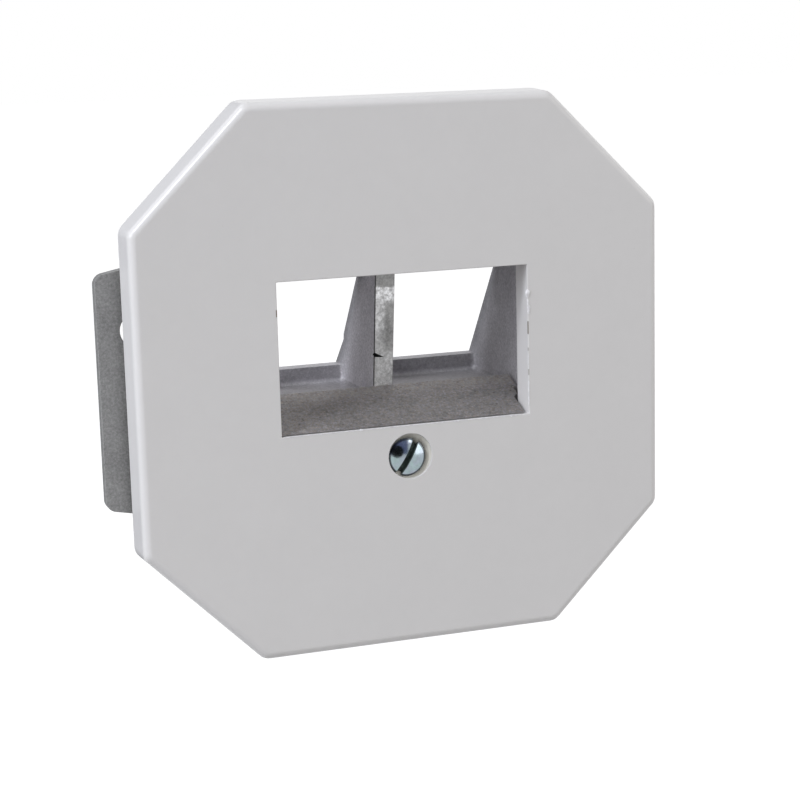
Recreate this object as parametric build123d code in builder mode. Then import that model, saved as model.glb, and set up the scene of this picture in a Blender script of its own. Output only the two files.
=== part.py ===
"""Two-port keystone module frame: a cast carrier, its octagonal cover plate and the cover screw.

Millimetres. X to the right, Y into the wall, Z up. The origin is the middle of the
carrier's flange, on the face that lies against the wall box.
"""
import os
from math import atan2, cos, hypot, radians, sin, tan

from build123d import *

# Flange of the carrier: a flat strap with tapered ends, lying against the wall
flange_width = 85.9
flange_height = 36.0
flange_thickness = 1.8
flange_end_height = 33.4
flange_taper_length = 6.5
flange_corner_radius = 1.6

# Fixing holes in the flange
box_screw_spacing = 60.0
box_slot_width = 3.8
box_slot_length = 8.0
end_hole_radius = 2.4
end_hole_inset = 5.65
end_hole_up = 8.8

# Jack bays: two slanted ports between a divider and two flanks
bay_span = 41.2
divider_thickness = 3.0
flank_thickness = 1.8
port_tilt = 36.6
port_length = 19.6
lip_top = -1.9
lip_back = 18.94
lip_thickness = 2.6
floor_top = -4.5
floor_thickness = 1.8
frame_opening_top = 16.1
top_lip_thickness = 1.76
post_front_top = 14.1
post_front_back = -0.9
post_lean = 7.9
step_height = 3.1
step_drop = 0.9
step_depth = 0.5
heel_reach = 0.66
foot_fillet = 0.8

# Sloping apron below the ports, with a tongue that fills the foot of the cover's window
apron_top_y = 1.3
apron_top_z = -2.85
apron_land = 0.35
apron_thickness = 1.8
apron_side_gap = 0.5
waist_gap = 0.25
waist_step = 0.8
tongue_tip_depth = 0.6
tongue_play = 0.1

# Cover plate: a shallow octagonal shell, a little off the carrier's middle
cover_size = 80.0
cover_corner_cut = 17.05
cover_depth = 5.65
cover_draft = 3.0
cover_corner_radius = 2.2
cover_edge_radius = 1.25
cover_skin = 2.3
cover_wall = 2.0
cover_gap = 1.35
cover_shift_x = 0.4
cover_shift_z = 0.2
window_width = 37.9
window_height = 22.1
window_centre_x = -0.24
window_centre_z = 3.8
collar_depth = 4.35
collar_wall = 1.4
bearing_rib_thickness = 1.5
bearing_rib_length = 20.0
bearing_rib_offset = 3.2

# Cover screw: slotted, raised countersunk head
screw_z = -11.8
screw_radius = 1.5
screw_length = 16.0
screw_point = 0.4
head_radius = 2.8
head_edge = 0.15
head_dome = 0.75
head_sink = 0.45
slot_width = 0.9
slot_depth = 1.35
slot_turn = 31.0
screw_play = 0.07
thread_fit = 0.02
boss_radius = 3.3
boss_length = 5.2
pillar_wall = 2.2

# Places that follow from the sizes above
flange_front = -flange_thickness
flange_top = flange_height / 2
cover_rim = flange_front - cover_gap
cover_front = cover_rim - cover_depth
skin_back = cover_front + cover_skin
collar_back = cover_front + collar_depth
window_centre = cover_shift_z + window_centre_z
bay_half = bay_span / 2
end_hole_across = flange_width / 2 - end_hole_inset
floor_bottom = floor_top - floor_thickness
lip_front = lip_back - lip_thickness
port_top_y = lip_back - port_length * sin(radians(port_tilt))
port_top_z = lip_top + port_length * cos(radians(port_tilt))

tongue_tip_y = cover_front + tongue_tip_depth
tongue_bottom = window_centre - window_height / 2 + tongue_play
tongue_half = window_width / 2 - abs(cover_shift_x + window_centre_x) - tongue_play
apron_half = bay_half - apron_side_gap
apron_back = apron_top_y + apron_land
apron_slope = atan2(apron_top_z - tongue_bottom, apron_top_y - tongue_tip_y)

hole_offset = hypot(cover_shift_x, cover_shift_z) + screw_play
recess_radius = head_radius + hole_offset
recess_depth = head_sink + head_edge
cover_hole_radius = screw_radius + hole_offset
pillar_radius = cover_hole_radius + pillar_wall
head_rim = cover_front + head_sink
head_top = head_rim - head_dome
shank_start = head_rim + head_edge + head_radius - screw_radius
screw_tip = head_rim + screw_length


def seat_y(z):
    """Depth of the slanted seat plane, where the jacks' housings lie, at a height z."""
    return lip_back + (lip_top - z) * tan(radians(port_tilt))


def post_y(z):
    """Depth of the divider's leaning front edge at a height z."""
    return post_front_back + (post_front_top - z) * tan(radians(post_lean))


def apron_under_y(z):
    """Depth of the apron's underside, parallel to its top, at a height z."""
    return tongue_tip_y + (z - tongue_bottom + apron_thickness / cos(apron_slope)) / tan(apron_slope)


# Apron of the carrier: its section, trimmed to its outline seen from above
with BuildPart() as apron:
    with BuildSketch(Plane.YZ):
        with BuildLine():
            Polyline(
                (tongue_tip_y, tongue_bottom), (apron_top_y, apron_top_z),
                (apron_back, apron_top_z), (apron_back, floor_bottom),
                (apron_under_y(floor_bottom), floor_bottom),
                (apron_under_y(tongue_bottom), tongue_bottom), close=True,
            )
        make_face()
    extrude(amount=apron_half, both=True)
    with BuildSketch(Plane.XY.offset(floor_bottom)):
        with BuildLine():
            waist_y = collar_back + waist_gap
            right_side = Polyline(
                (0, cover_front), (tongue_half, cover_front), (tongue_half, waist_y),
                (tongue_half + waist_step, waist_y + waist_step),
                (tongue_half + waist_step, flange_front), (apron_half, flange_front),
                (apron_half, apron_back), (0, apron_back),
            )
            mirror(right_side, about=Plane.YZ)
        make_face()
    extrude(amount=2 * floor_bottom, both=True, mode=Mode.INTERSECT)

# Carrier: flange, flanks, divider, catch edges, floor and apron are one casting
with BuildPart() as module_carrier:
    with BuildSketch(Plane.XZ):
        with BuildLine():
            end_x = flange_width / 2
            taper_x = end_x - flange_taper_length
            end_z = flange_end_height / 2
            Polyline(
                (-taper_x, flange_top), (taper_x, flange_top), (end_x, end_z), (end_x, -end_z),
                (taper_x, -flange_top), (-taper_x, -flange_top), (-end_x, -end_z), (-end_x, end_z),
                close=True,
            )
        outline = make_face()
        end_corners = outline.vertices().filter_by(lambda v: abs(v.X) > end_x - 0.01)
        fillet(end_corners, flange_corner_radius)
    extrude(amount=flange_thickness)

    # Opening for the ports
    with BuildSketch(Plane.XZ):
        with Locations((0, (frame_opening_top + floor_bottom) / 2)):
            Rectangle(bay_span, frame_opening_top - floor_bottom)
    extrude(amount=flange_thickness, mode=Mode.SUBTRACT)

    # Flanks
    for side in (-1, 1):
        with BuildSketch(Plane.YZ.offset(side * (bay_half + flank_thickness / 2))):
            with BuildLine():
                Polyline(
                    (flange_front, flange_top), (seat_y(flange_top), flange_top),
                    (lip_back, lip_top), (lip_back, floor_bottom), (flange_front, floor_bottom),
                    close=True,
                )
            make_face()
        extrude(amount=flank_thickness / 2, both=True)

    # Divider, with a small step and a heel in its back edge
    with BuildSketch(Plane.YZ):
        with BuildLine():
            Polyline(
                (flange_front, flange_top), (seat_y(flange_top), flange_top),
                (seat_y(step_height), step_height),
                (seat_y(step_height - step_drop) - step_depth, step_height - step_drop),
                (lip_back + heel_reach, lip_top), (lip_back, floor_top - floor_thickness / 2),
                (apron_top_y, floor_top - floor_thickness / 2), (post_y(apron_top_z), apron_top_z),
                (post_y(frame_opening_top), frame_opening_top), (flange_front, frame_opening_top),
                close=True,
            )
        make_face()
    extrude(amount=divider_thickness / 2, both=True)

    # Top bar with the upper catch edge of both ports
    with BuildSketch(Plane.YZ):
        with BuildLine():
            Polyline(
                (flange_front, flange_top), (seat_y(flange_top), flange_top),
                (port_top_y, port_top_z), (port_top_y - top_lip_thickness, port_top_z),
                (port_top_y - 2 * top_lip_thickness, frame_opening_top),
                (flange_front, frame_opening_top), close=True,
            )
        make_face()
    extrude(amount=bay_half, both=True)

    # Floor with the lower catch edge of both ports
    with BuildSketch(Plane.YZ):
        with BuildLine():
            Polyline(
                (flange_front, floor_top), (lip_front, floor_top), (lip_front, lip_top), (lip_back, lip_top),
                (lip_back, floor_bottom), (flange_front, floor_bottom), close=True,
            )
        make_face()
    extrude(amount=bay_half, both=True)

    # Cast fillets round the foot of each bay
    near = foot_fillet / 4
    foot_edges = module_carrier.edges().filter_by_position(Axis.X, -bay_half - near, bay_half + near)
    foot_edges = foot_edges.filter_by_position(Axis.Y, apron_back, lip_front + near)
    foot_edges = foot_edges.filter_by_position(Axis.Z, floor_top - near, (floor_top + lip_top) / 2 + near)
    fillet(foot_edges, radius=foot_fillet)

    add(apron.part)

    # Threaded boss for the cover screw
    with BuildSketch(Plane.XZ):
        with Locations((0, screw_z)):
            Circle(boss_radius)
    extrude(amount=-boss_length)
    with BuildSketch(Plane.XZ.offset(flange_thickness)):
        with Locations((0, screw_z)):
            Circle(screw_radius + thread_fit)
    extrude(amount=-(flange_thickness + boss_length), mode=Mode.SUBTRACT)

    # Slots for the wall-box screws, and a round hole near each end
    with BuildSketch(Plane.XZ):
        with GridLocations(box_screw_spacing, 0, 2, 1):
            SlotOverall(box_slot_length, box_slot_width)
        with Locations((-end_hole_across, end_hole_up), (end_hole_across, -end_hole_up)):
            Circle(end_hole_radius)
    extrude(amount=flange_thickness, mode=Mode.SUBTRACT)
module_carrier.part.label = "module_carrier"

# Cover plate: drafted octagonal shell with a window collar, a screw pillar and bearing ribs
cover_back = Plane(origin=(cover_shift_x, cover_rim, cover_shift_z), x_dir=(1, 0, 0), z_dir=(0, -1, 0))
skin_inside = cover_back.offset(cover_depth - cover_skin)
cover_face = cover_back.offset(cover_depth)
with BuildPart() as cover_plate:
    with BuildSketch(cover_back) as octagon:
        Rectangle(cover_size, cover_size)
        chamfer(octagon.vertices(), length=cover_corner_cut)
        fillet(octagon.vertices(), radius=cover_corner_radius)
    extrude(amount=cover_depth, taper=cover_draft)
    front_edges = cover_plate.faces().sort_by(Axis.Y)[0].edges()
    fillet(front_edges, radius=cover_edge_radius)

    # Hollow behind the skin
    with BuildSketch(cover_back) as hollow:
        Rectangle(cover_size, cover_size)
        chamfer(hollow.vertices(), length=cover_corner_cut)
        offset(amount=-cover_wall)
    extrude(amount=cover_depth - cover_skin, taper=cover_draft, mode=Mode.SUBTRACT)

    # Collar round the window
    with BuildSketch(skin_inside):
        with Locations((window_centre_x, window_centre_z)):
            Rectangle(window_width + 2 * collar_wall, window_height + 2 * collar_wall)
    extrude(amount=cover_skin - collar_depth)

    # Screw pillar and bearing ribs reach the carrier's flange
    with BuildSketch(skin_inside):
        with Locations((0, screw_z)):
            Circle(pillar_radius)
        with GridLocations(window_width + 2 * (collar_wall + bearing_rib_offset), 0, 2, 1):
            Rectangle(bearing_rib_thickness, bearing_rib_length)
    extrude(amount=skin_back - flange_front)

    # Window
    with BuildSketch(cover_face):
        with Locations((window_centre_x, window_centre_z)):
            Rectangle(window_width, window_height)
    extrude(amount=-2 * cover_depth, mode=Mode.SUBTRACT)

    # Screw hole: a short straight recess, then a countersink and a clearance hole
    with BuildSketch(cover_face):
        with Locations((0, screw_z)):
            Circle(recess_radius)
    extrude(amount=-recess_depth, mode=Mode.SUBTRACT)
    with Locations(cover_face.offset(-recess_depth) * Pos(0, screw_z)):
        CounterSinkHole(
            radius=cover_hole_radius, counter_sink_radius=recess_radius, counter_sink_angle=90
        )
cover_plate.part.label = "cover_plate"

# Cover screw
screw_section = Plane(origin=(0, 0, screw_z), x_dir=(0, 1, 0), z_dir=(1, 0, 0))
with BuildPart() as cover_screw:
    with BuildSketch(screw_section):
        with BuildLine():
            dome = TangentArc((head_top, 0), (head_rim, head_radius), tangent=(0, 1))
            Polyline(
                dome @ 1, (head_rim + head_edge, head_radius), (shank_start, screw_radius),
                (screw_tip - screw_point, screw_radius), (screw_tip, screw_radius - screw_point),
                (screw_tip, 0), dome @ 0,
            )
        make_face()
    revolve(axis=Axis((0, 0, screw_z), (0, 1, 0)))
    with BuildSketch(Plane.XZ.offset(-head_top)):
        with Locations((0, screw_z)):
            Rectangle(slot_width, 3 * head_radius, rotation=-slot_turn)
    extrude(amount=-slot_depth, mode=Mode.SUBTRACT)
cover_screw.part.label = "cover_screw"

os.makedirs("parts", exist_ok=True)
export_step(module_carrier.part, "parts/module_carrier.step")
export_step(cover_plate.part, "parts/cover_plate.step")
export_step(cover_screw.part, "parts/cover_screw.step")
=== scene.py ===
"""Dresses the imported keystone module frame: moulded cover, zinc casting and plated cover screw.

Metres. X to the right, Y into the wall, Z up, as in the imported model.
"""
import math
import random

import bmesh
import bpy
from bpy.props import FloatProperty, FloatVectorProperty, IntProperty, PointerProperty
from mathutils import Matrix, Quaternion, Vector


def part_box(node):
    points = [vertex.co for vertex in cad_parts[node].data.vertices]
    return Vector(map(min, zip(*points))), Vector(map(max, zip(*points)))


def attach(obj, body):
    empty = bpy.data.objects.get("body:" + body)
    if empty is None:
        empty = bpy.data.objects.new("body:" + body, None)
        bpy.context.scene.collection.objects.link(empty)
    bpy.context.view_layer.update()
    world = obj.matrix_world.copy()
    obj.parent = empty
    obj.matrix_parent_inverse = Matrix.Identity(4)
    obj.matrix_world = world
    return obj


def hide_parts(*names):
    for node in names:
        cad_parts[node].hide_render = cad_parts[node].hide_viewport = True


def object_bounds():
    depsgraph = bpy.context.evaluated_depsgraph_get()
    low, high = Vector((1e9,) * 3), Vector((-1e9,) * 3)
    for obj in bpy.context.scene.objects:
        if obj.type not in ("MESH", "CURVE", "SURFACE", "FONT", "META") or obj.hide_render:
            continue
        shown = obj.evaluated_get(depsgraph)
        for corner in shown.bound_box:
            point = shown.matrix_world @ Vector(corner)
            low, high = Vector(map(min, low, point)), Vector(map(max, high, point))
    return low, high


bl_info = {
    "name": "Keystone module frame",
    "version": (1, 0, 0),
    "blender": (4, 5, 0),
    "location": "View3D > Sidebar > Module frame",
    "description": "Finishes the cover, the casting and the screw of a two-port module frame",
    "category": "Object",
}

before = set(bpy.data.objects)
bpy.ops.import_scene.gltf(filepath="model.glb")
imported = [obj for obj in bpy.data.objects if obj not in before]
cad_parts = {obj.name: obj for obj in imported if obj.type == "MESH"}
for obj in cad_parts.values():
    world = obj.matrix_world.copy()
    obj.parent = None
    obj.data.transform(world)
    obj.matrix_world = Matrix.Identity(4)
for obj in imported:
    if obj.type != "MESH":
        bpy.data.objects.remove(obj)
solid_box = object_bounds()
cover_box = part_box("cover_plate")

MM = 0.001
BODY = "root"
WELD_DISTANCE = 0.001 * MM
FLAT_ANGLE = math.radians(0.1)
SHARP_ANGLE = math.radians(30)
THREAD_SIDES = 40
THREAD_ROWS = 8
FLASH_SIDES = 8
FLASH_STEP = 0.3 * MM
FLASH_FLATNESS = 0.6
FLASH_END_SHARE = 0.35

# Places that the finishes are worked out from, in millimetres.
RECESS_RADIUS = 4.0
HEAD_BACK_Y = -5.5
POST_FOOT_Z = -3.1
BAY_FRONT_Y = -1.75
BAY_SIDE_X = 20.6
BAY_FOOT_Z = -4.6
WALL_FOOT_Z = -3.9
APRON_TOP_Z = -2.6
APRON_FOOT_Z = -8.4
APRON_BACK_Y = 1.45
APRON_SIDE_X = 20.2
WEAR_TOP_Z = 12.3
SEAT_NORMAL = Vector((0, 0.803, 0.596))

# The stage: distances in metres, and the share of the sky's light that reaches the floor.
LAMP_DISTANCE = 0.7
FLOOR_REACH = 3.0
FLOOR_LIT = 0.9


class Value:
    """A node's output, so that an expression on it adds the Math nodes."""

    def __init__(self, graph, socket):
        self.graph = graph
        self.socket = socket

    def __add__(self, other):
        return self.graph.maths("ADD", self, other)

    def __sub__(self, other):
        return self.graph.maths("SUBTRACT", self, other)

    def __rsub__(self, other):
        return self.graph.maths("SUBTRACT", other, self)

    def __mul__(self, other):
        return self.graph.maths("MULTIPLY", self, other)

    __radd__ = __add__
    __rmul__ = __mul__


class Graph:
    """The nodes of one material or of the world."""

    def __init__(self, tree):
        self.tree = tree
        tree.nodes.clear()

    def node(self, kind, settings=None, sockets=None, output=0):
        """Adds a node: its settings come first, then the values or links of its sockets."""
        node = self.tree.nodes.new(kind)
        for name, value in (settings or {}).items():
            setattr(node, name, value)
        for name, value in (sockets or {}).items():
            if isinstance(value, Value):
                self.tree.links.new(value.socket, node.inputs[name])
            else:
                node.inputs[name].default_value = value
        return Value(self, node.outputs[output]) if node.outputs else node

    def maths(self, operation, first, second):
        """One Math node."""
        return self.node("ShaderNodeMath", {"operation": operation}, {0: first, 1: second})

    def largest(self, first, *others):
        """The largest of several values."""
        for other in others:
            first = self.maths("MAXIMUM", first, other)
        return first

    def rise(self, value, start, end):
        """0 below start, 1 above end, and smooth between them; start may be the higher one."""
        sockets = {"Value": value, "From Min": start, "From Max": end}
        return self.node("ShaderNodeMapRange", {"interpolation_type": "SMOOTHSTEP"}, sockets)

    def size(self, value):
        """A value without its sign."""
        return self.maths("ABSOLUTE", value, 0)

    def blend(self, factor, first, second):
        """A colour between two colours."""
        return self.node("ShaderNodeMix", {"data_type": "RGBA"}, {0: factor, 6: first, 7: second}, 2)

    def shaded(self, colour, tone):
        """A colour made lighter or darker by a tone around 1."""
        settings = {"data_type": "RGBA", "blend_type": "MULTIPLY"}
        return self.node("ShaderNodeMix", settings, {0: 1.0, 6: colour, 7: tone}, 2)


class Finish(Graph):
    """A material with one Principled shader, worked out from object coordinates in millimetres."""

    def __init__(self, name):
        self.material = bpy.data.materials.new(name)
        self.material.use_nodes = True
        super().__init__(self.material.node_tree)
        coordinates = self.node("ShaderNodeTexCoord", output="Object")
        scaling = {"operation": "SCALE"}
        self.place = self.node("ShaderNodeVectorMath", scaling, {0: coordinates, "Scale": 1 / MM})

    def parts_of(self, vector):
        """The X, Y and Z of a vector."""
        return [self.node("ShaderNodeSeparateXYZ", sockets={0: vector}, output=i) for i in range(3)]

    def from_axis(self, axis):
        """How far right of an axis along Y, how far above it and how far out from it."""
        x, _, z = self.parts_of(self.place)
        right, up = x - axis.x / MM, z - axis.z / MM
        return right, up, self.maths("SQRT", right * right + up * up, 0)

    def noise(self, grain, detail=3.0, roughness=0.5, shift=0.0):
        """Cloudy noise whose patches are about grain millimetres across."""
        moved = self.place
        if shift:
            moved = self.node("ShaderNodeVectorMath", {"operation": "ADD"}, {0: moved, 1: (shift,) * 3})
        sockets = {"Vector": moved, "Scale": 1 / grain, "Detail": detail, "Roughness": roughness}
        return self.node("ShaderNodeTexNoise", sockets=sockets)

    def specks(self, spacing, radius, share):
        """Round specks of about that radius, in a share of the cells of that spacing."""
        settings = {"feature": "F1"}
        sockets = {"Vector": self.place, "Scale": 1 / spacing}
        distance = self.node("ShaderNodeTexVoronoi", settings, sockets, "Distance")
        cell = self.node("ShaderNodeTexVoronoi", settings, sockets, "Color")
        lot = self.parts_of(cell)[0]
        reach = radius / spacing
        return self.rise(distance, reach, 0.5 * reach) * self.rise(lot, 1 - share, 1.001 - share)

    def bump(self, height, depth):
        """A normal from a height between 0 and 1 that stands for depth millimetres."""
        sockets = {"Height": height, "Distance": depth * MM, "Strength": 1.0}
        return self.node("ShaderNodeBump", sockets=sockets)

    def shade(self, **sockets):
        """Ends the material with its shader; names are the sockets' names with _ for a space."""
        named = {name.replace("_", " "): value for name, value in sockets.items()}
        shader = self.node("ShaderNodeBsdfPrincipled", sockets=named)
        self.node("ShaderNodeOutputMaterial", sockets={"Surface": shader})
        return self.material


def white_plastic(settings, axis):
    """Moulded white plastic: faint clouds, a few dark specks, painted shade in the slits along the
    window's edges and painted light in the screw's recess.
    """
    finish = Finish("white_plastic")
    x, y, z = finish.parts_of(finish.place)
    face_y = settings.face_y / MM
    clouds = finish.noise(9, detail=3) * 0.6 + finish.noise(1.6, shift=40) * 0.4
    base = finish.shaded((*settings.colour, 1), (clouds - 0.5) * 0.07 + 0.98)
    speck = finish.largest(finish.specks(7, 0.16, 0.16), finish.specks(2.6, 0.07, 0.05))
    base = finish.blend(speck * 0.3, base, (*settings.speck_colour, 1))
    face = finish.rise(y, face_y + 0.25, face_y + 0.2)
    # Painted shade: the slits and the nick in the window's edges are darkened for the shade inside them.
    for middle, reach, low, high, strength in settings.slit_shades():
        half = (high - low) / 2
        slit_shade = finish.rise(finish.size(x - middle), reach, reach * 0.6)
        slit_shade = slit_shade * finish.rise(finish.size(z - low - half), half + 0.1, half - 0.1)
        base = finish.blend(slit_shade * face * strength, base, (*settings.slit_shade_colour, 1))
    # Painted light: the plastic in the screw's recess is lighter and yellower, standing in for light
    # there.
    radius = finish.from_axis(axis)[2]
    in_recess = finish.rise(radius, RECESS_RADIUS + 0.2, RECESS_RADIUS)
    in_recess = in_recess * finish.rise(y, face_y + 0.1, face_y + 0.3)
    base = finish.blend(in_recess, base, (*settings.recess_painted_light_colour, 1))
    # Where the roughness crosses 0.274 the denoised picture gets patches, so it stays above that.
    rough = clouds * 0.03 + settings.roughness
    return finish.shade(Base_Color=base, Roughness=rough, Specular_IOR_Level=0.5)


def flash_plastic(colour):
    """Thin white flash, a little uneven in tone and gloss."""
    finish = Finish("flash_plastic")
    clouds = finish.noise(0.4, detail=3)
    darker = tuple(0.85 * part for part in colour)
    base = finish.blend(finish.rise(clouds, 0.35, 0.65), (*darker, 1), (*colour, 1))
    rough = clouds * 0.2 + 0.25
    return finish.shade(Base_Color=base, Roughness=rough, Normal=finish.bump(clouds, 0.03))


class CastingFinish(Finish):
    """The casting's finish: its masks follow the casting's places, in millimetres."""

    def __init__(self, settings):
        super().__init__("cast_zinc")
        self.settings = settings
        self.x, self.y, self.z = self.parts_of(self.place)
        self.across = self.size(self.x)
        self.half_post = settings.post_width / 2 / MM
        lean = math.tan(settings.post_lean) / MM
        post_start = (settings.post_top_z - self.z * MM) * lean + settings.post_top_y / MM
        self.behind_post = self.y - post_start
        self.ahead = settings.seat_ahead / MM - (self.y * SEAT_NORMAL.y + self.z * SEAT_NORMAL.z)
        self.grain = self.noise(0.36, detail=3, roughness=0.75)
        self.blotches = self.noise(0.7, detail=3, shift=17)
        self.front_edge = self.post_mask()
        self.in_bays = self.bay_mask()
        self.on_apron = self.apron_mask()

    def post_mask(self):
        """1 on the divider's front edge."""
        near = self.rise(self.size(self.behind_post), 0.22, 0.12)
        above_foot = self.rise(self.z, POST_FOOT_Z, POST_FOOT_Z + 0.2)
        return near * above_foot * self.rise(self.across, self.half_post + 0.1, self.half_post)

    def bay_mask(self):
        """1 on the walls and floors of the jack bays, ahead of the seat plane."""
        inside = self.rise(self.y, BAY_FRONT_Y, BAY_FRONT_Y + 0.05)
        inside = inside * self.rise(self.across, BAY_SIDE_X + 0.05, BAY_SIDE_X)
        inside = inside * self.rise(self.z, BAY_FOOT_Z - 0.2, BAY_FOOT_Z)
        return inside * (1 - self.front_edge) * self.rise(self.ahead, 0.0, 0.25)

    def apron_mask(self):
        """1 on the sloping apron."""
        inside = self.rise(self.z, APRON_TOP_Z, APRON_TOP_Z - 0.15)
        inside = inside * self.rise(self.z, APRON_FOOT_Z, APRON_FOOT_Z + 0.1)
        inside = inside * self.rise(self.y, APRON_BACK_Y, APRON_BACK_Y - 0.05)
        return inside * self.rise(self.across, APRON_SIDE_X, APRON_SIDE_X - 0.1)

    def base_tones(self):
        """The skin's colour: the flange; the bays ahead of the seat lighter, painted light, with painted
        light and shade on their walls and floors; the browner, darker apron, lighter at its top and left
        end; and the divider's front edge lighter, painted light.
        """
        settings = self.settings
        # Painted light: the bays ahead of the seat take a lighter colour than the flange.
        lit_bay_colour = (*settings.bay_painted_light_colour, 1)
        skin = self.blend(self.in_bays, (*settings.flange_colour, 1), lit_bay_colour)
        wall = self.in_bays * self.rise(self.z, WALL_FOOT_Z - 0.3, WALL_FOOT_Z)
        beside_post = wall * self.rise(self.across, self.half_post + 0.5, self.half_post + 0.3)
        flank = wall * self.rise(self.across, BAY_SIDE_X - 0.4, BAY_SIDE_X - 0.2)
        # Painted light and shade: the bays' side walls are lighter towards the front and darker at the
        # seat.
        away = self.rise(self.ahead, -0.3, 4.0)
        divider_light_and_shade = away * settings.divider_painted_light - settings.divider_painted_shade
        flank_light_and_shade = away * settings.flank_painted_light - settings.flank_painted_shade
        skin = self.shaded(skin, 1 + beside_post * divider_light_and_shade)
        skin = self.shaded(skin, 1 + flank * flank_light_and_shade)
        # Painted shade on the bays' floors, and painted light on the left bay's floor.
        low = self.in_bays * self.rise(self.z, -1.0, -1.4) * (1 - beside_post) * (1 - flank)
        skin = self.shaded(skin, 1 + low * (self.rise(self.x, 1, -1) * 0.24 - 0.14))
        warm = self.rise(self.noise(0.3, detail=2, shift=60), 0.38, 0.62)
        spotted = self.blend(warm, lit_bay_colour, (*settings.apron_colour, 1))
        skin = self.blend(self.on_apron, skin, spotted)
        # The apron is lighter towards its top edge, partly a worn edge and partly painted light, and
        # lighter at its left end, painted light.
        apron_top_wear_and_light = self.rise(self.z, -4.6, -2.9) * 0.35
        apron_left_light = self.rise(self.x, -6, -17) * 0.14
        skin = self.shaded(skin, 1 + self.on_apron * (apron_top_wear_and_light + apron_left_light - settings.apron_dark))
        # Painted light: the divider's front edge is lighter, standing in for its reflection of the light
        # in front.
        return self.shaded(skin, 1 + self.front_edge * 0.32)

    def wear(self):
        """The worn patches and a darker patch on the divider's front edge."""
        x, z = self.x, self.z
        ragged = (self.noise(0.9, detail=4, shift=3) - 0.5) * 1.4
        below_top = self.rise(z, WEAR_TOP_Z, WEAR_TOP_Z - 0.4)
        band = self.rise(z + ragged, WEAR_TOP_Z, WEAR_TOP_Z - 0.4) * self.rise(z + ragged, 9.0, 10.4)
        left_half = self.rise(x + ragged, 0.35, -0.25) * below_top * self.rise(z, 3.0, 6.5)
        foot = self.rise(z, 2.6, 2.0) * 0.45
        low_left = self.rise(x + ragged, 0.6, -0.6) * below_top * 0.35
        patches = self.rise(self.noise(0.55, detail=5, roughness=0.62, shift=8), 0.34, 0.62)
        worn = self.largest(band, left_half * 0.72, foot, low_left) * (patches * 0.75 + 0.25)
        dark_patch = self.rise(self.size(x - 0.35) * 2.2 + self.size(z - 5.2) + ragged, 3.6, 1.6)
        return worn * self.front_edge, dark_patch * self.front_edge

    def speckle(self):
        """The skin's grain and blotches, with pits as painted shade and glints as painted highlights on
        the apron, as a tone around 1.
        """
        clouds = self.noise(4, detail=3, shift=31)
        tone = (self.grain - 0.5) * 1.5 + (self.blotches - 0.5) * (self.on_apron * 0.5 + 0.4)
        tone = tone * (1 - self.in_bays * 0.2) + (clouds - 0.5) * 0.35 + 1
        flecks = self.rise(self.grain, 0.62, 0.72) * (0.3 * self.on_apron + 0.15)
        # Painted shade in small pits and painted highlights of glints, on the apron.
        pits = self.largest(self.specks(0.9, 0.2, 0.3), self.specks(1.3, 0.26, 0.25)) * self.on_apron
        glints = self.specks(1.1, 0.17, 0.35) * self.on_apron
        return tone + flecks + glints * 0.45 - pits * 0.3

    def edge_shade_lines(self):
        """1 on the dark lines down both sides of the divider's front edge, which are painted shade."""
        left_edge = self.rise(self.x, -self.half_post + 0.16, -self.half_post + 0.08)
        right_edge = self.rise(self.x, self.half_post - 0.12, self.half_post - 0.04) * 0.5
        edge = self.largest(left_edge, right_edge) * self.rise(self.behind_post, 0.3, 0.2)
        edge = edge * self.rise(self.across, self.half_post + 0.1, self.half_post)
        return edge * self.rise(self.z, POST_FOOT_Z + 0.1, POST_FOOT_Z + 0.5)

    def nick_shade_mask(self):
        """1 inside the nick of the divider's edge, where its shade is painted."""
        high = self.settings.nick_top / MM
        low = high - self.settings.nick_height / MM
        inside = self.rise(self.behind_post, 0.03, 0.1)
        inside = inside * self.rise(self.across, self.half_post - 0.02, self.half_post - 0.06)
        return inside * self.rise(self.z, low - 0.2, low - 0.1) * self.rise(self.z, high + 0.1, high)


def cast_zinc(settings):
    """Die-cast zinc: a speckled skin, browner on the apron, smoother in the bays, worn on the post, with
    painted light and shade in the bays, on the apron and along the divider.
    """
    finish = CastingFinish(settings)
    worn, dark_patch = finish.wear()
    skin = finish.base_tones()
    bright = finish.blend(finish.front_edge, skin, (*settings.post_colour, 1))
    skin = finish.blend(worn, skin, bright)
    skin = finish.shaded(skin, 1 - dark_patch * 0.3)
    skin = finish.shaded(skin, finish.speckle())
    # Painted shade down both sides of the divider's front edge.
    skin = finish.blend(finish.edge_shade_lines() * 0.85, skin, (*settings.edge_shade_colour, 1))
    # Painted shade inside the nick.
    skin = finish.blend(finish.nick_shade_mask(), skin, (*settings.nick_shade_colour, 1))
    rough = (finish.grain - 0.5) * 0.25 + settings.roughness - worn * 0.22
    height = finish.grain * 0.6 + finish.blotches * 0.4
    return finish.shade(
        Base_Color=skin, Metallic=worn * 0.4 + settings.metallic, Roughness=rough,
        Normal=finish.bump(height, 0.02),
    )


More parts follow.
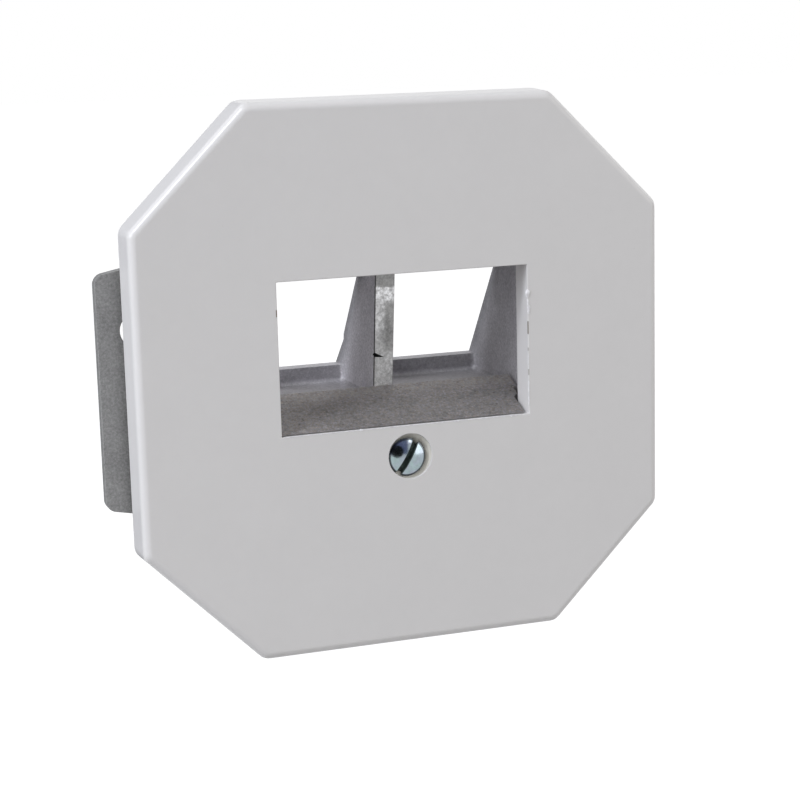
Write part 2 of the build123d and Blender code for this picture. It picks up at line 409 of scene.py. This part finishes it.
def plated_steel(settings, axis):
    """Blue-passivated zinc plating, with a faint play of colours, and painted shade: nearly black in the
    slot, dark on the head's rim.
    """
    finish = Finish("plated_steel")
    y = finish.parts_of(finish.place)[1]
    right, up, radius = finish.from_axis(axis)
    across = right * math.cos(settings.slot_turn) - up * math.sin(settings.slot_turn)
    shaded_rim = finish.rise(radius, settings.rim_start / MM, settings.rim_start / MM + 0.12)
    half_slot = settings.slot_width / 2 / MM
    in_slot = finish.rise(finish.size(across), half_slot + 0.06, half_slot + 0.02)
    in_slot = in_slot * finish.rise(y, HEAD_BACK_Y, HEAD_BACK_Y - 0.1)
    clouds = finish.noise(0.7, detail=4)
    play = finish.rise(finish.noise(1.3, detail=2, shift=9), 0.35, 0.65)
    base = finish.blend(play, (*settings.colour, 1), (*settings.second_colour, 1))
    base = finish.shaded(base, (clouds - 0.5) * 0.5 + 1)
    worn = finish.rise(clouds, 0.35, 0.65)
    # Painted shade: the slot is nearly black in patches, and less metallic and rougher there.
    slot = finish.blend(worn, (*settings.slot_shade, 1), (*settings.slot_shade_colour, 1))
    base = finish.blend(in_slot, base, slot)
    # Painted shade: the head's rim is darkened where it meets the recess.
    base = finish.blend(shaded_rim * 0.85, base, (*settings.rim_shade_colour, 1))
    rough = (clouds - 0.5) * 0.1 + settings.roughness + in_slot * 0.3
    return finish.shade(Base_Color=base, Metallic=1 - in_slot * 0.8, Roughness=rough)


def welded_copy(node):
    """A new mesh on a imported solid's form, welded, with its flat faces whole."""
    shape = bmesh.new()
    shape.from_mesh(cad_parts[node].data)
    bmesh.ops.remove_doubles(shape, verts=shape.verts, dist=WELD_DISTANCE)
    bmesh.ops.dissolve_limit(shape, angle_limit=FLAT_ANGLE, verts=shape.verts, edges=shape.edges)
    return shape


def finished_piece(shape, name, material):
    """Turns a bmesh into an object that rides with the part."""
    mesh = bpy.data.meshes.new(name)
    shape.to_mesh(mesh)
    shape.free()
    if "custom_normal" in mesh.attributes:
        mesh.attributes.remove(mesh.attributes["custom_normal"])
    mesh.materials.clear()
    mesh.materials.append(material)
    mesh.shade_smooth()
    mesh.set_sharp_from_angle(angle=SHARP_ANGLE)
    piece = bpy.data.objects.new(name, mesh)
    bpy.context.scene.collection.objects.link(piece)
    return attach(piece, BODY)


def weigh_edges(shape, deep=math.inf, deep_weight=1.0, convex_only=False):
    """Marks the sharp edges of a bmesh for rounding, and those further in than deep less so."""
    weights = shape.edges.layers.float.new("bevel_weight_edge")
    for edge in shape.edges:
        sharp = edge.is_manifold and edge.calc_face_angle() > SHARP_ANGLE
        if sharp and (edge.is_convex or not convex_only):
            far_in = min(vertex.co.y for vertex in edge.verts) > deep
            edge[weights] = deep_weight if far_in else 1.0


def round_edges(piece, radius, segments=2):
    """Rounds the marked edges and keeps flat faces flat in shading."""
    bevel = piece.modifiers.new("rounding", "BEVEL")
    bevel.width = radius
    bevel.segments = segments
    bevel.limit_method = "WEIGHT"
    bevel.harden_normals = True
    weight = piece.modifiers.new("flat_faces", "WEIGHTED_NORMAL")
    weight.keep_sharp = True


def cut_nick(shape, settings):
    """Cuts a notch into the left edge of the divider's front."""
    left = -settings.post_width / 2
    lean = math.tan(settings.post_lean)

    def front_at(x, z):
        """A point on the divider's front."""
        return Vector((x, settings.post_top_y + (settings.post_top_z - z) * lean, z))

    top = front_at(left, settings.nick_top)
    bottom = front_at(left, settings.nick_top - settings.nick_height)
    tip = front_at(left + settings.nick_reach, bottom.z - 0.1 * MM)
    inner = (top + bottom) / 2 + Vector((0, settings.nick_depth, 0))
    edge = nearest_edge(shape, (top + bottom) / 2)
    front, side = sorted(edge.link_faces, key=lambda face: face.normal.y)
    above, below = sorted(edge.verts, key=lambda vertex: -vertex.co.z)
    weights = shape.edges.layers.float["bevel_weight_edge"]
    rounding = edge[weights]
    top, bottom, tip, inner = [shape.verts.new(place) for place in (top, bottom, tip, inner)]
    notch_face(shape, front, above, below, [top, tip, bottom])
    notch_face(shape, side, above, below, [top, inner, bottom])
    bmesh.ops.delete(shape, geom=[edge], context="EDGES")
    for start, end in ((top, tip), (tip, bottom)):
        shape.faces.new((start, end, inner))
    for start, end in ((above, top), (bottom, below)):
        shape.edges.get((start, end))[weights] = rounding
    bmesh.ops.recalc_face_normals(shape, faces=shape.faces)


def nearest_edge(shape, point):
    """The edge whose line runs closest to a point within its ends."""
    def off(edge):
        start, end = (vertex.co for vertex in edge.verts)
        along = end - start
        share = min(max((point - start).dot(along) / along.length_squared, 0), 1)
        return (start + along * share - point).length
    return min(shape.edges, key=off)


def notch_face(shape, face, above, below, step):
    """Adds a flat face like a given one, whose edge from above to below takes a step in."""
    loop = list(face.verts)
    if loop[(loop.index(above) + 1) % len(loop)] is below:
        place = loop.index(above) + 1
    else:
        place = loop.index(below) + 1
        step = step[::-1]
    shape.faces.new(loop[:place] + step + loop[place:])


def add_tube(shape, rings):
    """Adds a closed tube over rings of corners that turn clockwise, seen from the last ring's end."""
    rings = [[shape.verts.new(corner) for corner in ring] for ring in rings]
    for ring, following in zip(rings, rings[1:]):
        for side, corner in enumerate(ring):
            after = (side + 1) % len(ring)
            shape.faces.new((corner, following[side], following[after], ring[after]))
    shape.faces.new(rings[0])
    shape.faces.new(rings[-1][::-1])


def add_flash(shape, start, end, thick, thin, dice):
    """Adds a ragged string of moulding flash along an edge, with its thick end at start."""
    rows = max(4, round((end - start).length / FLASH_STEP))
    along = (end - start).normalized()
    out = Vector((0, -1, 0))
    beside = along.cross(out)
    rings = []
    for row in range(rows + 1):
        share = row / rows
        radius = (thick + (thin - thick) * share) * dice.uniform(0.75, 1.2)
        radius = radius * (FLASH_END_SHARE if row in (0, rows) else 1)
        middle = start.lerp(end, share) + beside * radius * dice.uniform(-0.3, 0.3)
        ring = []
        for side in range(FLASH_SIDES):
            angle = math.tau * side / FLASH_SIDES
            around = beside * math.cos(angle) + out * FLASH_FLATNESS * math.sin(angle)
            ring.append(middle + around * radius)
        rings.append(ring)
    add_tube(shape, rings)


def stand_for(node):
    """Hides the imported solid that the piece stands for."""
    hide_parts(node)


def keep_head(shape, shank_start):
    """Cuts the plain shank off the screw and closes the head behind."""
    shank = [vertex for vertex in shape.verts if vertex.co.y > shank_start + WELD_DISTANCE]
    bmesh.ops.delete(shape, geom=shank, context="VERTS")
    rim = [edge for edge in shape.edges if edge.is_boundary]
    bmesh.ops.holes_fill(shape, edges=rim)


def add_thread(shape, axis, start, tip, settings):
    """Adds a threaded shank along Y: each ring of points follows the thread's rise and fall."""
    crest, root = settings.thread_radius, settings.thread_radius - settings.thread_depth
    rows = math.ceil((tip - start) / settings.thread_pitch * THREAD_ROWS)
    rings = []
    for row in range(rows + 1):
        y = start + (tip - start) * row / rows
        limit = root + min(tip - y, crest - root)
        ring = []
        for side in range(THREAD_SIDES):
            phase = ((y - start) / settings.thread_pitch - side / THREAD_SIDES) % 1
            radius = min(root + (crest - root) * (1 - abs(2 * phase - 1)), limit)
            angle = math.tau * side / THREAD_SIDES
            ring.append((axis.x + radius * math.cos(angle), y, axis.z + radius * math.sin(angle)))
        rings.append(ring)
    add_tube(shape, rings)


class CoverSettings(bpy.types.PropertyGroup):
    """Finish of the moulded cover plate."""

    colour: FloatVectorProperty(
        name="Colour", description="Colour of the moulded plastic", subtype="COLOR",
        default=(0.73, 0.715, 0.715), min=0, max=1,
    )
    roughness: FloatProperty(
        name="Roughness", description="Roughness of the plastic's surface", default=0.28, min=0, max=1,
    )
    # Painted light in the screw's recess.
    recess_painted_light_colour: FloatVectorProperty(
        name="Recess colour", description="Plastic around the screw, where light shines through",
        subtype="COLOR", default=(0.86, 0.84, 0.78), min=0, max=1,
    )
    speck_colour: FloatVectorProperty(
        name="Speck colour", description="Brown of the small specks", subtype="COLOR",
        default=(0.30, 0.27, 0.24), min=0, max=1,
    )
    # Painted shade in the slits of the window's edges.
    slit_shade_colour: FloatVectorProperty(
        name="Mark colour", description="Dark slits in the window's edges", subtype="COLOR",
        default=(0.16, 0.13, 0.10), min=0, max=1,
    )
    edge_radius: FloatProperty(
        name="Edge radius", description="Rounding of the window and recess edges",
        default=0.12 * MM, unit="LENGTH",
    )
    face_y: FloatProperty(
        name="Face", description="Place of the cover's face", default=cover_box[0].y, unit="LENGTH",
    )
    window_low: FloatVectorProperty(
        name="Window, lower left", description="Lower left corner of the window in X and Z",
        size=2, subtype="XYZ_LENGTH", default=(-18.79 * MM, -7.05 * MM),
    )
    window_high: FloatVectorProperty(
        name="Window, upper right", description="Upper right corner of the window in X and Z",
        size=2, subtype="XYZ_LENGTH", default=(19.11 * MM, 15.05 * MM),
    )

    def slit_shades(self):
        """Painted shade in the slits of the window's edges: X, half width, lower and upper Z in mm,
        strength.
        """
        left, right = self.window_low[0] / MM, self.window_high[0] / MM
        return (
            (right + 0.02, 0.14, 4.8, 6.7, 0.8), (right + 0.02, 0.14, 2.3, 2.8, 0.4),
            (right + 0.02, 0.15, -1.3, -0.4, 0.45), (left, 0.26, 10.2, 11.2, 0.95),
        )


class FlashSettings(bpy.types.PropertyGroup):
    """Moulding flash left on the window's edges."""

    colour: FloatVectorProperty(
        name="Colour", description="Colour of the thin flash", subtype="COLOR",
        default=(0.92, 0.91, 0.94), min=0, max=1,
    )
    blob_radius: FloatProperty(
        name="Blob radius", description="Radius of the lump near the top",
        default=0.36 * MM, unit="LENGTH",
    )
    burr_radius: FloatProperty(
        name="Burr radius", description="Radius of the ragged strings", default=0.22 * MM, unit="LENGTH",
    )
    lip_radius: FloatProperty(
        name="Lip radius", description="Radius of the fine line of flash",
        default=0.075 * MM, unit="LENGTH",
    )
    fleck_places: FloatVectorProperty(
        name="Flecks", description="X of the flecks on the lower edge", subtype="XYZ_LENGTH",
        default=(-7.0 * MM, 7.9 * MM, 16.3 * MM),
    )
    seed: IntProperty(name="Seed", description="Start of the random sizes", default=7)


class CastingSettings(bpy.types.PropertyGroup):
    """Finish of the zinc casting."""

    flange_colour: FloatVectorProperty(
        name="Flange colour", description="Skin of the flange", subtype="COLOR",
        default=(0.30, 0.298, 0.295), min=0, max=1,
    )
    # Painted light: the bays' skin is lighter than the flange's, standing in for light inside them.
    bay_painted_light_colour: FloatVectorProperty(
        name="Bay colour", description="Smoother skin inside the jack bays", subtype="COLOR",
        default=(0.44, 0.43, 0.45), min=0, max=1,
    )
    apron_colour: FloatVectorProperty(
        name="Apron colour", description="Browner spots of the apron's skin", subtype="COLOR",
        default=(0.43, 0.39, 0.36), min=0, max=1,
    )
    post_colour: FloatVectorProperty(
        name="Post colour", description="Bright worn patches on the divider's front edge",
        subtype="COLOR", default=(0.72, 0.72, 0.73), min=0, max=1,
    )
    # Painted shade along the divider's front edge.
    edge_shade_colour: FloatVectorProperty(
        name="Line colour", description="Dark lines down the divider's front edge", subtype="COLOR",
        default=(0.02, 0.02, 0.022), min=0, max=1,
    )
    # Painted shade inside the nick.
    nick_shade_colour: FloatVectorProperty(
        name="Nick colour", description="Dark inside of the nick", subtype="COLOR",
        default=(0.015, 0.015, 0.015), min=0, max=1,
    )
    # How much darker the apron is than the bays' lighter colour that it starts from.
    apron_dark: FloatProperty(
        name="Apron dirt", description="How much darker the apron's skin is", default=0.45, min=0, max=1,
    )
    # Painted light and shade on the bays' side walls.
    divider_painted_light: FloatProperty(
        name="Divider gain", description="How much brighter the divider's sides are at the front",
        default=0.91, min=0, max=1,
    )
    divider_painted_shade: FloatProperty(
        name="Divider shade", description="How much darker the divider's sides are at the seat",
        default=0.18, min=0, max=1,
    )
    flank_painted_light: FloatProperty(
        name="Flank gain", description="How much brighter the bays' outer sides are at the front",
        default=0.44, min=0, max=1,
    )
    flank_painted_shade: FloatProperty(
        name="Flank shade", description="How much darker the bays' outer sides are at the seat",
        default=0.26, min=0, max=1,
    )
    seat_ahead: FloatProperty(
        name="Seat plane", description="Distance of the jacks' seat plane from the origin",
        default=14.08 * MM, unit="LENGTH",
    )
    metallic: FloatProperty(
        name="Metallic", description="How metallic the dull skin is", default=0.45, min=0, max=1,
    )
    roughness: FloatProperty(
        name="Roughness", description="Roughness of the casting's skin", default=0.6, min=0, max=1,
    )
    edge_radius: FloatProperty(
        name="Edge radius", description="Rounding of the casting's edges",
        default=0.18 * MM, unit="LENGTH",
    )
    seat_start: FloatProperty(
        name="Seat start", description="Depth from which the edges are crisper",
        default=0.5 * MM, unit="LENGTH",
    )
    seat_rounding: FloatProperty(
        name="Seat rounding", description="Share of the rounding on those edges",
        default=0.12, min=0, max=1,
    )
    nick_top: FloatProperty(
        name="Nick top", description="Height of the upper end of the nick in the divider's edge",
        default=2.35 * MM, unit="LENGTH",
    )
    nick_height: FloatProperty(
        name="Nick height", description="Length of the nick along the edge",
        default=0.75 * MM, unit="LENGTH",
    )
    nick_reach: FloatProperty(
        name="Nick reach", description="How far the nick runs across the divider's front",
        default=1.6 * MM, unit="LENGTH",
    )
    nick_depth: FloatProperty(
        name="Nick depth", description="How far the nick runs into the divider",
        default=0.9 * MM, unit="LENGTH",
    )
    post_width: FloatProperty(
        name="Post width", description="Thickness of the divider", default=3 * MM, unit="LENGTH",
    )
    post_top_y: FloatProperty(
        name="Post top depth", description="Depth of the divider's front edge at its top",
        default=-0.9 * MM, unit="LENGTH",
    )
    post_top_z: FloatProperty(
        name="Post top height", description="Height at which that depth is measured",
        default=14.1 * MM, unit="LENGTH",
    )
    post_lean: FloatProperty(
        name="Post lean", description="Lean of the divider's front edge", subtype="ANGLE",
        default=math.radians(7.9),
    )


class ScrewSettings(bpy.types.PropertyGroup):
    """Finish of the cover screw."""

    colour: FloatVectorProperty(
        name="Colour", description="Colour of the plating", subtype="COLOR",
        default=(0.29, 0.365, 0.375), min=0, max=1,
    )
    second_colour: FloatVectorProperty(
        name="Second colour", description="Violet play of the plating", subtype="COLOR",
        default=(0.30, 0.335, 0.385), min=0, max=1,
    )
    # Painted shade inside the slot.
    slot_shade_colour: FloatVectorProperty(
        name="Slot colour", description="Dark green-black inside the slot", subtype="COLOR",
        default=(0.10, 0.14, 0.13), min=0, max=1,
    )
    slot_shade: FloatVectorProperty(
        name="Slot shade", description="Darkest patches inside the slot", subtype="COLOR",
        default=(0.05, 0.06, 0.06), min=0, max=1,
    )
    # Painted shade on the head's rim.
    rim_shade_colour: FloatVectorProperty(
        name="Rim colour", description="Dark rim of the head", subtype="COLOR",
        default=(0.05, 0.055, 0.06), min=0, max=1,
    )
    rim_start: FloatProperty(
        name="Rim start", description="Radius at which the head's dark rim starts",
        default=2.46 * MM, unit="LENGTH",
    )
    roughness: FloatProperty(
        name="Roughness", description="Roughness of the plating", default=0.16, min=0, max=1,
    )
    slot_width: FloatProperty(
        name="Slot width", description="Width of the slot", default=0.9 * MM, unit="LENGTH",
    )
    slot_turn: FloatProperty(
        name="Slot turn", description="Turn of the slot from upright, clockwise", subtype="ANGLE",
        default=math.radians(31),
    )
    edge_radius: FloatProperty(
        name="Edge radius", description="Rounding of the head's and the slot's edges",
        default=0.06 * MM, unit="LENGTH",
    )
    head_height: FloatProperty(
        name="Head height", description="From the top of the head to the shank",
        default=2.2 * MM, unit="LENGTH",
    )
    thread_radius: FloatProperty(
        name="Thread radius", description="Outer radius of the thread", default=1.5 * MM, unit="LENGTH",
    )
    thread_depth: FloatProperty(
        name="Thread depth", description="Depth of the thread's flanks",
        default=0.27 * MM, unit="LENGTH",
    )
    thread_pitch: FloatProperty(
        name="Thread pitch", description="Distance between turns", default=0.5 * MM, unit="LENGTH",
    )


class StageSettings(bpy.types.PropertyGroup):
    """Floor, light and camera."""

    floor_gap: FloatProperty(
        name="Floor gap", description="Distance from the part's lowest edge to the floor",
        default=45 * MM, unit="LENGTH",
    )
    floor_tone: FloatProperty(
        name="Floor tone", description="Grey of the floor in the light it sends back", default=0.35,
    )
    sky_level: FloatProperty(
        name="Sky level", description="Light from all round, as a share of white", default=0.44,
    )
    key_level: FloatProperty(
        name="Key level", description="Light of the lamp above on the left, as a share of white",
        default=0.34,
    )
    front_level: FloatProperty(
        name="Front level", description="Light of the lamp in front on the left, as a share of white",
        default=0.09,
    )
    side_level: FloatProperty(
        name="Side level", description="Light of the lamp on the left, as a share of white",
        default=0.45,
    )
    fill_level: FloatProperty(
        name="Fill level", description="Light of the lamp on the right, as a share of white",
        default=0.18,
    )
    rear_level: FloatProperty(
        name="Rear level", description="Light of the lamp behind on the right, as a share of white",
        default=0.08,
    )
    glint_level: FloatProperty(
        name="Glint level", description="Light of the small lamps that the screw mirrors", default=0.02,
    )
    camera_place: FloatVectorProperty(
        name="Camera", description="Place of the camera", subtype="XYZ_LENGTH",
        default=(-95.42 * MM, -278.66 * MM, 52.27 * MM),
    )
    camera_aim: FloatVectorProperty(
        name="Aim", description="Point on the cover's face in the middle of the view",
        subtype="XYZ_LENGTH", default=(-0.998 * MM, -8.8 * MM, -3.205 * MM),
    )
    camera_roll: FloatProperty(
        name="Roll", description="Turn of the camera about its view", subtype="ANGLE",
        default=math.radians(-1.552),
    )
    camera_lens: FloatProperty(
        name="Lens", description="Focal length on a 36 mm sensor", unit="CAMERA", default=91.13,
    )


class MODULE_OT_dress_cover(bpy.types.Operator):
    """Finish the cover plate"""

    bl_idname = "module_frame.dress_cover"
    bl_label = "Dress cover"

    def execute(self, context):
        settings = context.scene.cover_settings
        lowest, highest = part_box("cover_screw")
        material = white_plastic(settings, (lowest + highest) / 2)
        shape = welded_copy("cover_plate")
        weigh_edges(shape)
        piece = finished_piece(shape, "moulded_cover", material)
        round_edges(piece, settings.edge_radius)
        stand_for("cover_plate")
        return {"FINISHED"}


class MODULE_OT_add_window_flash(bpy.types.Operator):
    """Add the ragged moulding flash on the window's edges"""

    bl_idname = "module_frame.add_window_flash"
    bl_label = "Add window flash"

    def execute(self, context):
        settings = context.scene.flash_settings
        cover = context.scene.cover_settings
        left, bottom = cover.window_low
        right = cover.window_high[0]
        dice = random.Random(settings.seed)
        shape = bmesh.new()

        def string(start, end, thick, thin):
            """One string of flash from start to end, both X and Z on the cover's face."""
            first, last = (Vector((x, cover.face_y, z)) for x, z in (start, end))
            add_flash(shape, first, last, thick, thin, dice)

        blob, burr, lip = settings.blob_radius, settings.burr_radius, settings.lip_radius
        string((right - 0.05 * MM, 11.4 * MM), (right, 10.2 * MM), blob, blob * 0.9)
        string((right, 10.2 * MM), (right + 0.1 * MM, 9.0 * MM), burr * 0.6, burr * 0.7)
        string((right + 0.12 * MM, 9.1 * MM), (right + 0.18 * MM, 7.8 * MM), burr * 1.1, burr * 0.8)
        string((right, -2.1 * MM), (right, -5.8 * MM), burr * 0.55, burr * 0.45)
        string((right, 2.0 * MM), (right, -0.4 * MM), lip, lip)
        string((left + 0.3 * MM, bottom), (right - 1.2 * MM, bottom), lip, lip)
        for x in settings.fleck_places:
            string((x - 0.25 * MM, bottom), (x + 0.35 * MM, bottom), burr, burr * 0.6)
        material = flash_plastic(settings.colour[:])
        piece = finished_piece(shape, "window_flash", material)
        return {"FINISHED"}


class MODULE_OT_dress_casting(bpy.types.Operator):
    """Finish the zinc casting"""

    bl_idname = "module_frame.dress_casting"
    bl_label = "Dress casting"

    def execute(self, context):
        settings = context.scene.casting_settings
        shape = welded_copy("module_carrier")
        weigh_edges(shape, settings.seat_start, settings.seat_rounding, convex_only=True)
        cut_nick(shape, settings)
        piece = finished_piece(shape, "zinc_casting", cast_zinc(settings))
        round_edges(piece, settings.edge_radius)
        stand_for("module_carrier")
        return {"FINISHED"}


class MODULE_OT_dress_screw(bpy.types.Operator):
    """Finish the cover screw"""

    bl_idname = "module_frame.dress_screw"
    bl_label = "Dress screw"

    def execute(self, context):
        settings = context.scene.screw_settings
        lowest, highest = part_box("cover_screw")
        axis = (lowest + highest) / 2
        shank_start = lowest.y + settings.head_height
        shape = welded_copy("cover_screw")
        keep_head(shape, shank_start)
        weigh_edges(shape)
        add_thread(shape, axis, shank_start - settings.thread_depth, highest.y, settings)
        bmesh.ops.recalc_face_normals(shape, faces=shape.faces)
        piece = finished_piece(shape, "plated_screw", plated_steel(settings, axis))
        round_edges(piece, settings.edge_radius)
        stand_for("cover_screw")
        return {"FINISHED"}


def seen_directly(graph):
    """1 for rays of the camera and for those that a gloss or a clear piece sends on."""
    rays = ("Is Camera Ray", "Is Glossy Ray", "Is Transmission Ray")
    return graph.largest(*[graph.node("ShaderNodeLightPath", output=ray) for ray in rays])


def light_world(level):
    """A world that lights at a level and looks white."""
    world = bpy.data.worlds.new("studio")
    world.use_nodes = True
    graph = Graph(world.node_tree)
    strength = seen_directly(graph) * (1 - level) + level
    glow = graph.node("ShaderNodeBackground", sockets={"Color": (1, 1, 1, 1), "Strength": strength})
    graph.node("ShaderNodeOutputWorld", sockets={"Surface": glow})
    bpy.context.scene.world = world


def floor_finish(tone, glow):
    """A pale floor that looks white and still takes a shadow."""
    material = bpy.data.materials.new("pale_floor")
    material.use_nodes = True
    graph = Graph(material.node_tree)
    matt = graph.node("ShaderNodeBsdfDiffuse", sockets={"Color": (tone, tone, tone, 1)})
    white = graph.node("ShaderNodeEmission", sockets={"Strength": seen_directly(graph) * glow})
    both = graph.node("ShaderNodeAddShader", sockets={0: matt, 1: white})
    graph.node("ShaderNodeOutputMaterial", sockets={"Surface": both})
    return material


def stage_sheet(name, corners, material):
    """A flat sheet that is no part of the object."""
    mesh = bpy.data.meshes.new(name)
    mesh.from_pydata(corners, [], [range(len(corners))])
    mesh.materials.append(material)
    sheet = bpy.data.objects.new(name, mesh)
    bpy.context.scene.collection.objects.link(sheet)
    return sheet


def lay_floor(height, half_width, tone, glow):
    """A flat floor."""
    corners = [(x * half_width, y * half_width, height) for x, y in ((-1, -1), (1, -1), (1, 1), (-1, 1))]
    stage_sheet("floor", corners, floor_finish(tone, glow))


def hang_card(name, aim, direction, distance, reach, sides, colour):
    """A card that only glossy surfaces mirror, square on to the point at aim."""
    material = bpy.data.materials.new(name)
    material.use_nodes = True
    graph = Graph(material.node_tree)
    glow = graph.node("ShaderNodeEmission", sockets={"Color": (*colour, 1)})
    graph.node("ShaderNodeOutputMaterial", sockets={"Surface": glow})
    away = Vector(direction).normalized()
    turn = away.to_track_quat("Z", "Y")
    angles = [math.tau * (side + 0.5) / sides for side in range(sides)]
    half_width, half_height = (half / math.cos(math.pi / sides) for half in reach)
    rim = [Vector((math.cos(a) * half_width, math.sin(a) * half_height, 0)) for a in angles]
    card = stage_sheet(name, [aim + away * distance + turn @ corner for corner in rim], material)
    card.visible_camera = False
    card.visible_diffuse = False
    card.visible_shadow = False


def hang_lamp(name, aim, direction, distance, size, level, colour):
    """An area lamp that lights a surface facing it at aim to a share of white."""
    lamp = bpy.data.lights.new(name, "AREA")
    lamp.shape = "SQUARE"
    lamp.size = size
    lamp.color = colour
    lamp.energy = level * (math.pi * distance) ** 2
    holder = bpy.data.objects.new(name, lamp)
    away = Vector(direction).normalized()
    holder.location = aim + away * distance
    holder.rotation_mode = "QUATERNION"
    holder.rotation_quaternion = away.to_track_quat("Z", "Y")
    bpy.context.scene.collection.objects.link(holder)
    return holder


def set_camera(settings):
    """The camera at the photograph's viewing angle."""
    lens = bpy.data.cameras.new("camera")
    lens.sensor_width = 36
    lens.lens = settings.camera_lens
    lens.clip_start = 1 * MM
    camera = bpy.data.objects.new("camera", lens)
    place = Vector(settings.camera_place)
    back = place - Vector(settings.camera_aim)
    camera.location = place
    camera.rotation_mode = "QUATERNION"
    roll = Quaternion((0, 0, 1), settings.camera_roll)
    camera.rotation_quaternion = back.to_track_quat("Z", "Y") @ roll
    bpy.context.scene.collection.objects.link(camera)
    bpy.context.scene.camera = camera


class MODULE_OT_build_stage(bpy.types.Operator):
    """Lay the floor, light the part and set the camera"""

    bl_idname = "module_frame.build_stage"
    bl_label = "Build stage"

    def execute(self, context):
        settings = context.scene.stage_settings
        lowest, highest = solid_box
        middle = (lowest + highest) / 2
        tone, sky = settings.floor_tone, settings.sky_level
        cards = (
            ("lens_card", (-0.249, -0.96, 0.123), 0.3, (0.1, 0.1), 32, (0.012, 0.011, 0.01)),
            ("room_card", (-0.2, -0.85, 0.36), 1.0, (0.62, 0.42), 4, (0.2, 0.22, 0.36)),
            ("back_card", (-0.6, 0.8, 0.05), 0.25, (0.2, 0.2), 4, (0.02, 0.02, 0.03)),
            ("low_card", (-0.35, 0.9, -0.42), 0.15, (0.14, 0.04), 4, (0.02, 0.02, 0.03)),
        )
        lamps = (
            ("key_lamp", (-0.6, -0.3, 0.75), 0.12, settings.key_level, (0.93, 0.97, 1.03)),
            ("side_lamp", (-1.0, -0.2, 0.4), 0.35, settings.side_level, (0.93, 0.97, 1.04)),
            ("front_lamp", (-0.55, -0.83, 0.02), 0.16, settings.front_level, (1, 0.96, 0.93)),
            ("fill_lamp", (0.826, -0.53, 0.16), 0.4, settings.fill_level, (1, 1, 0.98)),
            ("rear_lamp", (0.91, 0.15, 0.35), 0.3, settings.rear_level, (1, 1, 1)),
            ("spot_lamp", (0.461, -0.70, 0.53), 0.08, settings.glint_level, (1, 1, 1)),
            ("glint_lamp", (0.826, -0.53, 0.16), 0.08, settings.glint_level / 2, (1, 1, 1)),
        )
        lay_floor(lowest.z - settings.floor_gap, FLOOR_REACH, tone, 1 - FLOOR_LIT * tone * sky)
        for name, *card in cards:
            hang_card(name, middle, *card)
        light_world(sky)
        for name, direction, *lamp in lamps:
            holder = hang_lamp(name, middle, direction, LAMP_DISTANCE, *lamp)
            holder.visible_glossy = name != "front_lamp"
        set_camera(settings)
        context.scene.view_settings.view_transform = "Standard"
        return {"FINISHED"}


class MODULE_PT_panel(bpy.types.Panel):
    """Steps that dress the module frame"""

    bl_label = "Module frame"
    bl_space_type = "VIEW_3D"
    bl_region_type = "UI"
    bl_category = "Module frame"

    def draw(self, context):
        scene = context.scene
        steps = (
            (MODULE_OT_dress_cover, scene.cover_settings),
            (MODULE_OT_add_window_flash, scene.flash_settings),
            (MODULE_OT_dress_casting, scene.casting_settings),
            (MODULE_OT_dress_screw, scene.screw_settings),
            (MODULE_OT_build_stage, scene.stage_settings),
        )
        for step, settings in steps:
            box = self.layout.box()
            box.operator(step.bl_idname)
            for name in settings.__annotations__:
                box.prop(settings, name)


settings_groups = {
    "cover_settings": CoverSettings,
    "flash_settings": FlashSettings,
    "casting_settings": CastingSettings,
    "screw_settings": ScrewSettings,
    "stage_settings": StageSettings,
}
classes = (
    *settings_groups.values(), MODULE_OT_dress_cover, MODULE_OT_add_window_flash,
    MODULE_OT_dress_casting, MODULE_OT_dress_screw, MODULE_OT_build_stage, MODULE_PT_panel,
)


def register():
    """Registers the classes and their settings on the scene."""
    for cls in classes:
        bpy.utils.register_class(cls)
    for name, group in settings_groups.items():
        setattr(bpy.types.Scene, name, PointerProperty(type=group))


def unregister():
    """Takes back what register did."""
    for name in settings_groups:
        delattr(bpy.types.Scene, name)
    for cls in reversed(classes):
        bpy.utils.unregister_class(cls)


def main():
    """Dresses the part."""
    register()
    bpy.ops.module_frame.dress_cover()
    bpy.ops.module_frame.add_window_flash()
    bpy.ops.module_frame.dress_casting()
    bpy.ops.module_frame.dress_screw()
    bpy.ops.module_frame.build_stage()


if __name__ == "__main__":
    main()
